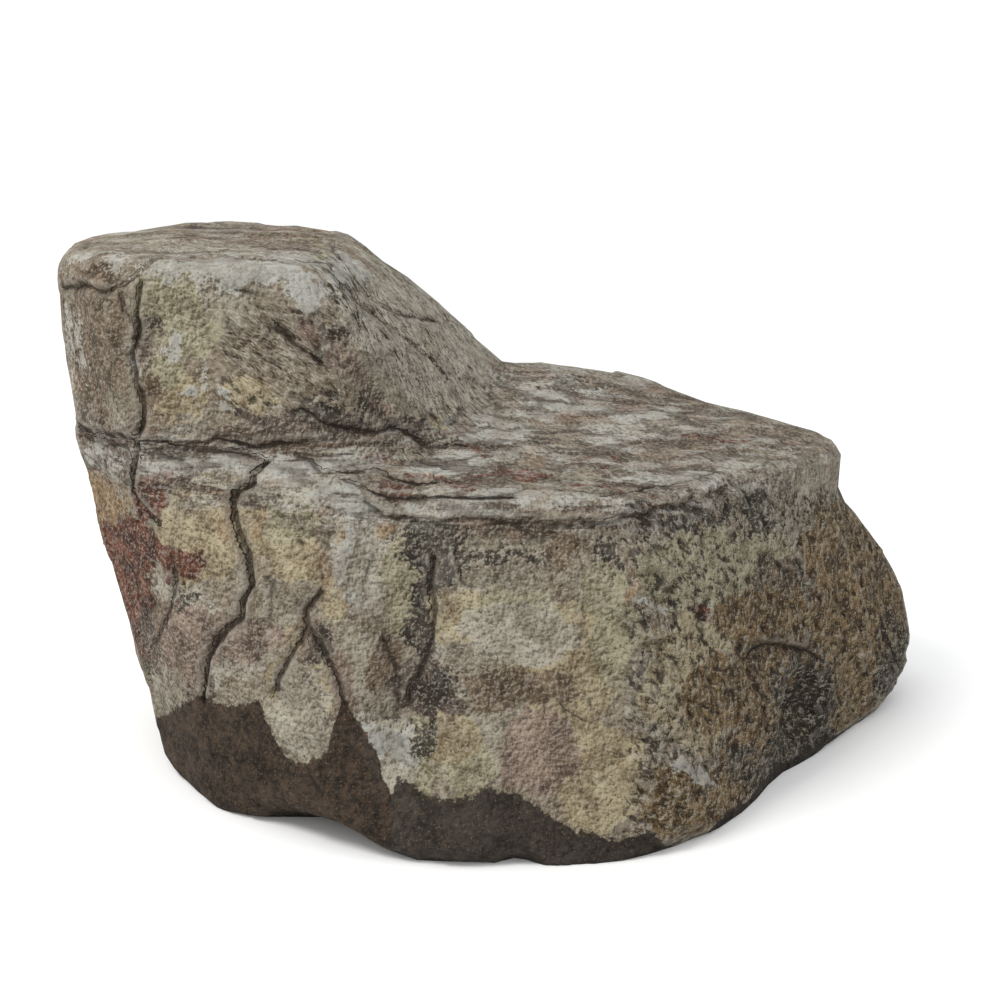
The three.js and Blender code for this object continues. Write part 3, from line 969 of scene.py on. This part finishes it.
def bedded_colour(s, colour, where, bent):
    """A colour with thin broken beds where they show: level streaks, and flakes with dark gaps."""
    plain = s.field("bedded")
    beds = s.noise(s.spread(where, BED_STREAKS), scale=1.0, detail=4.0, rough=0.66)
    sockets = {0: bent, 1: TORN, 2: s.spread(where, BED_FLAKES)}
    torn = s.node("VectorMath", sockets, operation="MULTIPLY_ADD").outputs[0]
    flakes = s.cells(torn, scale=1.0)
    kind = s.node("SeparateColor", {0: flakes["Color"]}).outputs[0]
    blur = 0.02
    for low, high, cover, flake in FLAKES:
        chosen = s.product(s.remap(kind, low - blur, low), s.remap(kind, high, high - blur))
        colour = s.cover(colour, flake, chosen, plain, cover)
    gaps = s.remap(flakes["Distance"], 0.50, 0.66, 0.0, 0.6)
    colour = s.cover(colour, TINTS["between flakes"], gaps, plain)
    colour = s.cover(colour, TINTS["pale bed"], s.remap(beds, 0.55, 0.62, 0.0, 0.5), plain)
    return s.cover(colour, TINTS["dark bed"], s.remap(beds, 0.46, 0.38, 0.0, 0.85), plain)


def soil_colour(s, mottle, grain, grit):
    """Soil that is brown or greyer, with pale grit in it."""
    shade = s.remap(s.scaled(grain, 0.6, s.product(mottle, 0.4)), 0.40, 0.60)
    brown, grey = [s.mix(shade, stone_colour(*dark), stone_colour(*light)) for dark, light in SOILS]
    soil = s.mix(s.field("greyer"), brown, grey)
    return s.cover(soil, TINTS["grit"], s.remap(grit, 0.60, 0.74, 0.0, 0.5))


def stone_material():
    """The stone's finish: bare stone, stains with painted shade in the niche and on the far lobe, beds, the
    grain's painted light and shade, painted shade in hollows and painted highlights on ridges, cracks and
    soil.
    """
    material = bpy.data.materials.new("weathered stone")
    s = Shader(material)
    where = s.node("TexCoord").outputs["Object"]
    broad = s.noise(where, scale=6.0, detail=3.0, rough=0.55)
    mottle = s.noise(where, scale=26.0, detail=5.0, rough=0.68)
    edges = s.noise(where, scale=36.0, detail=5.0, rough=0.68, output="Color")
    first, second, third = s.node("SeparateColor", {0: edges}).outputs
    fine = s.noise(where, scale=120.0, detail=4.0, rough=0.65)
    grit = s.noise(where, scale=330.0, detail=1.0, rough=0.7)
    coarse = s.field("coarse")
    height = lumps(s, where)
    # A place a little way toward the light: each lump is painted lighter on that side and darker on the
    # other.
    beside = s.node("VectorMath", {0: where, 1: PAINTED_LIGHT_SIDE}, operation="ADD").outputs[0]
    facing_painted_light = s.sum("SUBTRACT", height, lumps(s, beside))
    ragged = {"first": first, "second": second, "third": third}
    ragged["tops"] = s.scaled(s.sum("ADD", first, height), 0.5, -0.02)
    ragged["gaps"] = s.scaled(s.sum("SUBTRACT", second, height), 0.5, 0.52)

    colour = s.ramp(mottle, [(place, stone_colour(*bare)) for place, bare in BARE_STONE])
    colour = s.cover(colour, TINTS["weathered"], s.remap(broad, 0.42, 0.62, 0.0, 0.55))
    colour = stained_and_shaded_colour(s, colour, mottle, ragged)
    colour = bedded_colour(s, colour, where, edges)

    rougher = s.sum("MAXIMUM", coarse, s.sum("ADD", s.field("streaked"), 0.2))
    on_chalk = s.remap(s.field("chalk"), -0.1, 0.3, 1.0, 0.45)
    strong = s.product(s.remap(rougher, 0.2, 1.0, 0.50, 1.0), on_chalk)
    # Painted light and shade on the grain: lumps lighter on the side toward the light, darker on the far
    # side, with painted shade in the gaps between them.
    colour = s.cover(colour, TINTS["painted highlight on lump"], s.remap(facing_painted_light, 0.02, 0.15, 0.0, 0.50), strong)
    colour = s.cover(colour, TINTS["shaded lump"], s.remap(facing_painted_light, -0.02, -0.15, 0.0, 0.72), strong)
    colour = s.cover(colour, TINTS["painted shade between lumps"], s.remap(height, 0.45, 0.27, 0.0, 0.80), strong)
    # Painted shade in the hollows of the relief, and a painted highlight on its ridges.
    low = s.field("low")
    colour = s.cover(colour, TINTS["hollow"], s.remap(low, 0.15, 0.95, 0.0, 0.7))
    colour = s.cover(colour, TINTS["ridge"], s.remap(low, -0.15, -0.9, 0.0, 0.25))

    near, deep = s.field("crack_near"), s.field("crack_deep")
    colour = s.cover(colour, TINTS["crack's stain"], near, s.remap(first, 0.40, 0.60, 0.22, 0.92), deep)
    soil_noise = s.sum("SUBTRACT", s.sum("ADD", second, fine), 1.0)
    soil_edge = s.scaled(soil_noise, 0.9, s.field("soil"))
    soil = soil_colour(s, mottle, fine, grit)
    colour = s.mix(s.remap(soil_edge, -0.07, 0.07, 0.0, 0.94), colour, soil)
    frayed = s.scaled(s.sum("SUBTRACT", third, 0.5), 3.0, s.sum("ABSOLUTE", s.field("crack")))
    line = s.product(s.remap(frayed, 1.7, 0.7), s.remap(near, 0.12, 0.3))
    colour = s.cover(colour, TINTS["crack"], line, s.remap(deep, 0.1, 0.9, 0.62, 0.94))

    raised = s.product(height, s.remap(coarse, 0.2, 1.0, 0.45, 1.0))
    raised = s.scaled(grit, 0.10, raised)
    sockets = {"Strength": 1.0, "Distance": BUMP_HEIGHT, "Height": raised}
    bump = s.node("Bump", sockets).outputs[0]
    rough = s.remap(mottle, 0.3, 0.7, 0.97, 0.88)
    sockets = {"Base Color": colour, "Roughness": rough, "Normal": bump, "Specular IOR Level": 0.2}
    finish = s.node("BsdfPrincipled", sockets)
    s.node("OutputMaterial", {"Surface": finish.outputs[0]})
    return material


# Studio

BACKDROP_COLOUR = (0.98, 0.99, 1.0, 1.0)
BACKDROP_STRENGTH = 1.10
KEY_PLACE = Vector((-1.9, -1.5, 3.3))
KEY_TARGET = Vector((0.0, 0.0, 0.35))
KEY_SIZE = 1.3
KEY_POWER = 78.0
KEY_COLOUR = (1.0, 0.985, 0.96)
FLOOR_COLOUR = (248, 248, 247)
FLOOR_TINT = (238, 237, 235)


def plain_material(name, colour, roughness):
    material = bpy.data.materials.new(name)
    s = Shader(material)
    where = s.node("TexCoord").outputs["Object"]
    share = s.remap(s.noise(where, scale=6.0, detail=2.0), 0.3, 0.7, 0.0, 0.03)
    tint = s.mix(share, colour, linear(*FLOOR_TINT))
    finish = s.node("BsdfPrincipled", {"Base Color": tint, "Roughness": roughness})
    s.node("OutputMaterial", {"Surface": finish.outputs[0]})
    return material


def make_floor():
    side, below = 30.0, 0.4 * MM
    corners = [(-side, -side, -below), (side, -side, -below), (side, side, -below), (-side, side, -below)]
    mesh = bpy.data.meshes.new("floor")
    mesh.from_pydata(corners, [], [(0, 1, 2, 3)])
    mesh.materials.append(plain_material("pale floor", linear(*FLOOR_COLOUR), roughness=0.9))
    new_piece("floor", mesh)


def make_key_light():
    light = bpy.data.lights.new("key", "AREA")
    light.shape = "DISK"
    light.size = KEY_SIZE
    light.energy = KEY_POWER
    light.color = KEY_COLOUR
    lamp = bpy.data.objects.new("key", light)
    lamp.location = KEY_PLACE
    lamp.rotation_euler = (KEY_TARGET - KEY_PLACE).to_track_quat("-Z", "Y").to_euler()
    bpy.context.scene.collection.objects.link(lamp)


def make_backdrop():
    scene = bpy.context.scene
    scene.view_settings.view_transform = "Standard"
    world = bpy.data.worlds.new("studio")
    scene.world = world
    world.use_nodes = True
    backdrop = world.node_tree.nodes["Background"]
    backdrop.inputs["Color"].default_value = BACKDROP_COLOUR
    backdrop.inputs["Strength"].default_value = BACKDROP_STRENGTH


def make_camera():
    camera = bpy.data.cameras.new("camera")
    camera.sensor_width = SENSOR_MM
    camera.lens = FOCAL / FRAME_SIDE * SENSOR_MM
    viewer = bpy.data.objects.new("camera", camera)
    viewer.location = CAMERA_PLACE
    viewer.rotation_euler = (math.pi / 2 - CAMERA_PITCH, 0.0, 0.0)
    bpy.context.scene.collection.objects.link(viewer)
    bpy.context.scene.camera = viewer


# The scene

make_camera()
make_backdrop()
make_key_light()
make_floor()
stone, stone_features = fine_stone()
write_fields(stone, stone_features)
stone.data.materials.clear()
stone.data.materials.append(stone_material())
stone.data.polygons.foreach_set("use_smooth", np.ones(len(stone.data.polygons), bool))
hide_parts(NODE)
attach(stone, "root")
